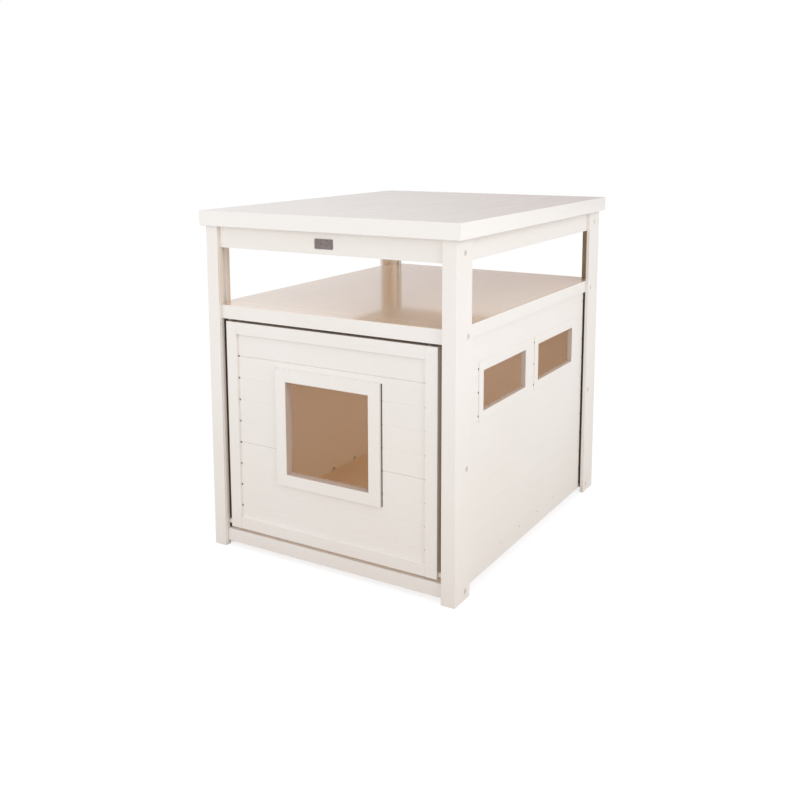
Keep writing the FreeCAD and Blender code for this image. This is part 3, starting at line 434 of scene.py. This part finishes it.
# Painted light and shade in the posts' recesses over the shelf.
LIT_AND_SHADED_RECESSES = (
    (POST_BAY, POST_PAINTED_SHADE),
    (CHANNEL_LEFT, CHANNEL_LEFT_PAINTED_LIGHT),
    (CHANNEL_RIGHT, CHANNEL_RIGHT_PAINTED_SHADE),
)
# The tabletop's edges keep the plain paint, so only its top face carries the painted shade.
TABLE_TINTS = ((TABLE_EDGES, PAINT_LIGHT),)

PAINT_X = paint("paint_along_x", ALONG_X, painted_shading=SHADED_GAPS)
PAINT_Y = paint("paint_along_y", ALONG_Y)
PAINT_Z = paint("paint_upright", UPRIGHT, painted_shading=SHADED_GAPS + LIT_AND_SHADED_RECESSES)
PAINT_TOP = paint("paint_tabletop", ALONG_Y, (0.17, 0.24), TOP_SHADED_PALE, TOP_SHADED_WARM, TABLE_TINTS)
PAINT_BOARDS = paint("paint_door_boards", ALONG_X, painted_shading=((BOARD_CUTS, GAP_PAINTED_SHADE),))
PAINT_WALL = paint("paint_wall_boards", ALONG_Y, painted_shading=((WALL_CUTS, GAP_PAINTED_SHADE),))
PAINT_ENTRY = paint("paint_entry", ALONG_X, painted_shading=((ENTRY_INSIDE, JAMB_PAINTED_SHADE),))
PAINT_WINDOW = paint("paint_window", ALONG_Y, painted_shading=((WINDOW_INSIDE, WINDOW_JAMB_PAINTED_SHADE),))
SHELF = laminate("shelf_laminate", SHELF_LIGHT, SHELF_WARM, 1.0, 0.20)
SHELF_RAIL = laminate("shelf_rail", SHELF_LIGHT, SHELF_WARM, 1.0, 0.20, painted_sides=True)
FLOOR_BOARD = laminate("floor_laminate", FLOOR_TINT, FLOOR_TINT, 0.0, 0.45)
DARK_STEEL = steel("dark_steel", STEEL_COLOUR, 0.45, TURNED)
PLATE = steel("plate_metal", PLATE_COLOUR, 0.38, BRUSHED)
PLASTIC = plastic("fitting_plastic", PLASTIC_COLOUR, 0.5)
STOP_RUBBER_AND_SHADE = plastic("stop_rubber_and_shade", RUBBER_AND_SHADE_COLOUR, 0.6)
BOLT_PAINT = plastic("bolt_paint", BOLT_COLOUR, 0.42)
PLUG_PLASTIC = plastic("plug_plastic", PLUG_COLOUR, 0.5)
BUSH_PLASTIC = plastic("bush_plastic", BUSH_COLOUR, 0.45)

FINISHES = (
    ("post_bolts", BOLT_PAINT),
    ("top_screws", DARK_STEEL),
    ("strike_plate", DARK_STEEL),
    ("nameplate", PLATE),
    ("magnet_catch", PLASTIC),
    ("bolt_spacers", PLASTIC),
    ("wall_plugs", PLUG_PLASTIC),
    ("hinge_", BUSH_PLASTIC),
    ("shelf_panel", SHELF),
    ("shelf_rail", SHELF_RAIL),
    ("floor_panel", FLOOR_BOARD),
    ("tabletop", PAINT_TOP),
    ("door_board", PAINT_BOARDS),
    ("side_wall", PAINT_WALL),
    ("entry_", PAINT_ENTRY),
    ("window_trim", PAINT_WINDOW),
)


def finish_of(node):
    """The finish of a CAD node: by its name, or by the way a painted piece lies."""
    for start, material in FINISHES:
        if node.startswith(start):
            return material
    low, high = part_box(node)
    size = high - low
    if size.z >= max(size.x, size.y):
        return PAINT_Z
    return PAINT_X if size.x > size.y else PAINT_Y


# ---------------------------------------------------------------- eased edges

EDGE_WIDTH = 0.0007
THIN_EDGE = 0.0002
STOP_EDGE = 0.0003
EDGE_STEPS = 2
SHARP_FROM = 40
WELD_REACH = 0.00001
SMALL = ("post_bolts", "top_screws", "wall_plugs", "bolt_spacers", "hinge_", "strike_plate")


def soften_edges(obj, width):
    """Ease the sharp edges of a solid, as paint and sanding do."""
    weld = obj.modifiers.new("weld", "WELD")
    weld.merge_threshold = WELD_REACH
    ease = obj.modifiers.new("ease", "BEVEL")
    ease.width = width
    ease.segments = EDGE_STEPS
    ease.limit_method = "ANGLE"
    ease.angle_limit = math.radians(SHARP_FROM)


for name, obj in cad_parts.items():
    obj.data.materials.clear()
    obj.data.materials.append(finish_of(name))
    if not name.startswith(SMALL):
        soften_edges(obj, THIN_EDGE if name.startswith("shelf_") else EDGE_WIDTH)

# ---------------------------------------------------------------- door stop strips

STOP_AIR = 0.0015
STOP_THICK = 0.006
STOP_LAP = 0.0025
STOP_ROOT = 0.0001
STOP_END = 0.001
STOP_INSET = 0.004
NOSE_STEPS = 8


def make_stop(name, x_from, x_to):
    """Soft strip with a round nose under the shelf rail, closing the gap above the shut door; its
    dark rubber also stands in for the gap's shade.
    """
    radius = STOP_THICK / 2
    middle = DOOR_BACK + STOP_AIR + radius
    low = DOOR_TOP - STOP_LAP + radius
    high = RAIL_UNDER - STOP_ROOT
    outline = [(middle - radius, high)]
    for step in range(NOSE_STEPS + 1):
        angle = math.pi * (1 + step / NOSE_STEPS)
        outline.append((middle + radius * math.cos(angle), low + radius * math.sin(angle)))
    outline.append((middle + radius, high))
    count = len(outline)
    points = [(x, y, z) for x in (x_from, x_to) for y, z in outline]
    faces = [tuple(range(count)), tuple(reversed(range(count, 2 * count)))]
    for index in range(count):
        following = (index + 1) % count
        faces.append((following, index, index + count, following + count))
    mesh = bpy.data.meshes.new(name)
    mesh.from_pydata(points, [], faces)
    mesh.validate()
    strip = bpy.data.objects.new(name, mesh)
    bpy.context.scene.collection.objects.link(strip)
    mesh.materials.append(STOP_RUBBER_AND_SHADE)
    soften_edges(strip, STOP_EDGE)
    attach(strip, "cabinet")


STOP_REACH = DOOR_HALF - STOP_INSET
make_stop("door_stop_left", -STOP_REACH, -CATCH_HALF - STOP_END)
make_stop("door_stop_right", CATCH_HALF + STOP_END, STOP_REACH)

# ---------------------------------------------------------------- floor and light

FLOOR_HALF = 9.0
FLOOR_DROP = 0.0004
FLOOR_ROUGHNESS = 0.9
FLOOR_SHADE_SPAN = (0.55, 1.5)
MOTTLE_REACH = 0.1
SEEN_WHITE, SEEN_SHADOW = 0.80, 0.26

WORLD_LIGHT = 0.81
ROOM_ACROSS = (-0.70, -0.20)
ROOM_UP = (0.13, 0.24)
LIGHT_BOUNCES = 24

# Name, place, point aimed at, side of the square in metres, power in watts.
LAMPS = (
    ("key_right", (2.5, -0.9, 1.8), (0.0, 0.0, 0.5), 1.8, 25.5),
    ("fill_front", (-1.2, -2.7, 1.3), (0.0, 0.0, 0.4), 1.6, 14.0),
)


def seen_directly(tree):
    """1 for rays from the camera, a mirror or a clear piece, 0 for light that bounces."""
    path = add(tree, "ShaderNodeLightPath")
    seen = arithmetic(tree, "MAXIMUM", path.outputs["Is Camera Ray"], path.outputs["Is Glossy Ray"])
    return arithmetic(tree, "MAXIMUM", seen, path.outputs["Is Transmission Ray"])


def make_floor():
    """White paper with a soft shadow to the eye; for bounced light it is painted darker and warmer
    near the piece, a painted shade.
    """
    mesh = bpy.data.meshes.new("studio_floor")
    half = FLOOR_HALF
    corners = [(-half, -half, 0), (half, -half, 0), (half, half, 0), (-half, half, 0)]
    mesh.from_pydata(corners, [], [(0, 1, 2, 3)])
    floor = bpy.data.objects.new("studio_floor", mesh)
    bpy.context.scene.collection.objects.link(floor)
    floor.location.z = -FLOOR_DROP

    material, tree, shader, coords = new_material("floor_paper", FLOOR_ROUGHNESS, specular=0.0)
    distance = add(tree, "ShaderNodeVectorMath", operation="LENGTH")
    join(tree, coords, distance.inputs[0])
    mottled = arithmetic(tree, "MULTIPLY", noise(tree, coords, scale=2.0), MOTTLE_REACH)
    reach = arithmetic(tree, "ADD", distance.outputs["Value"], mottled)
    tone = blend(tree, remap(tree, reach, FLOOR_SHADE_SPAN), FLOOR_NEAR_PAINTED_SHADE, FLOOR_FAR)
    seen = seen_directly(tree)
    join(tree, blend(tree, seen, tone, grey(SEEN_SHADOW)), shader.inputs["Base Color"])
    shader.inputs["Emission Color"].default_value = WHITE
    glow = arithmetic(tree, "MULTIPLY", seen, SEEN_WHITE)
    join(tree, glow, shader.inputs["Emission Strength"])
    floor.data.materials.append(material)


def make_world():
    """Even soft light; the camera sees white and mirrors see a room that dims to the right."""
    world = bpy.data.worlds.new("studio")
    bpy.context.scene.world = world
    world.use_nodes = True
    tree = world.node_tree
    tree.nodes.clear()
    path = add(tree, "ShaderNodeLightPath")
    parts = add(tree, "ShaderNodeSeparateXYZ")
    join(tree, add(tree, "ShaderNodeTexCoord").outputs["Generated"], parts.inputs["Vector"])
    rightward = remap(tree, parts.outputs["X"], ROOM_ACROSS)
    upward = remap(tree, parts.outputs["Z"], ROOM_UP)
    room = blend(tree, rightward, ROOM_LEFT, blend(tree, upward, ROOM_LOW, ROOM_HIGH))
    tone = blend(tree, path.outputs["Is Glossy Ray"], grey(WORLD_LIGHT), room)
    clear = arithmetic(
        tree, "MAXIMUM", path.outputs["Is Camera Ray"], path.outputs["Is Transmission Ray"]
    )
    tone = blend(tree, clear, tone, WHITE)
    background = add(tree, "ShaderNodeBackground")
    output = add(tree, "ShaderNodeOutputWorld")
    join(tree, tone, background.inputs["Color"])
    join(tree, background.outputs["Background"], output.inputs["Surface"])


def make_lamp(name, place, target, size, power):
    """Square area lamp that is left out of reflections."""
    data = bpy.data.lights.new(name, "AREA")
    data.shape = "SQUARE"
    data.size = size
    data.energy = power
    lamp = bpy.data.objects.new(name, data)
    lamp.location = place
    lamp.rotation_euler = (Vector(target) - Vector(place)).to_track_quat("-Z", "Y").to_euler()
    lamp.visible_glossy = False
    bpy.context.scene.collection.objects.link(lamp)


make_floor()
make_world()
for lamp_row in LAMPS:
    make_lamp(*lamp_row)
bpy.context.scene.cycles.max_bounces = LIGHT_BOUNCES
bpy.context.scene.cycles.diffuse_bounces = LIGHT_BOUNCES

# ---------------------------------------------------------------- camera

PICTURE_SIDE = 800
FOCAL_PIXELS = 971.6
CENTRE_X, CENTRE_Y = 379.73, 280.28
CAMERA_PLACE = (1.07992, -1.92392, 0.89415)
CAMERA_TURN = (81.3162, 0.2885, 31.5183)
SENSOR_MM = 36.0
SEEN_FROM, SEEN_TO = 0.05, 60.0


def make_camera():
    """The photograph's camera: its lens centre is off the middle of the picture."""
    data = bpy.data.cameras.new("photo_camera")
    data.sensor_width = SENSOR_MM
    data.lens = FOCAL_PIXELS * SENSOR_MM / PICTURE_SIDE
    data.shift_x = (PICTURE_SIDE / 2 - CENTRE_X) / PICTURE_SIDE
    data.shift_y = (CENTRE_Y - PICTURE_SIDE / 2) / PICTURE_SIDE
    data.clip_start, data.clip_end = SEEN_FROM, SEEN_TO
    camera = bpy.data.objects.new("photo_camera", data)
    camera.location = CAMERA_PLACE
    camera.rotation_euler = [math.radians(angle) for angle in CAMERA_TURN]
    bpy.context.scene.collection.objects.link(camera)
    bpy.context.scene.camera = camera


make_camera()
bpy.context.scene.view_settings.view_transform = "Standard"
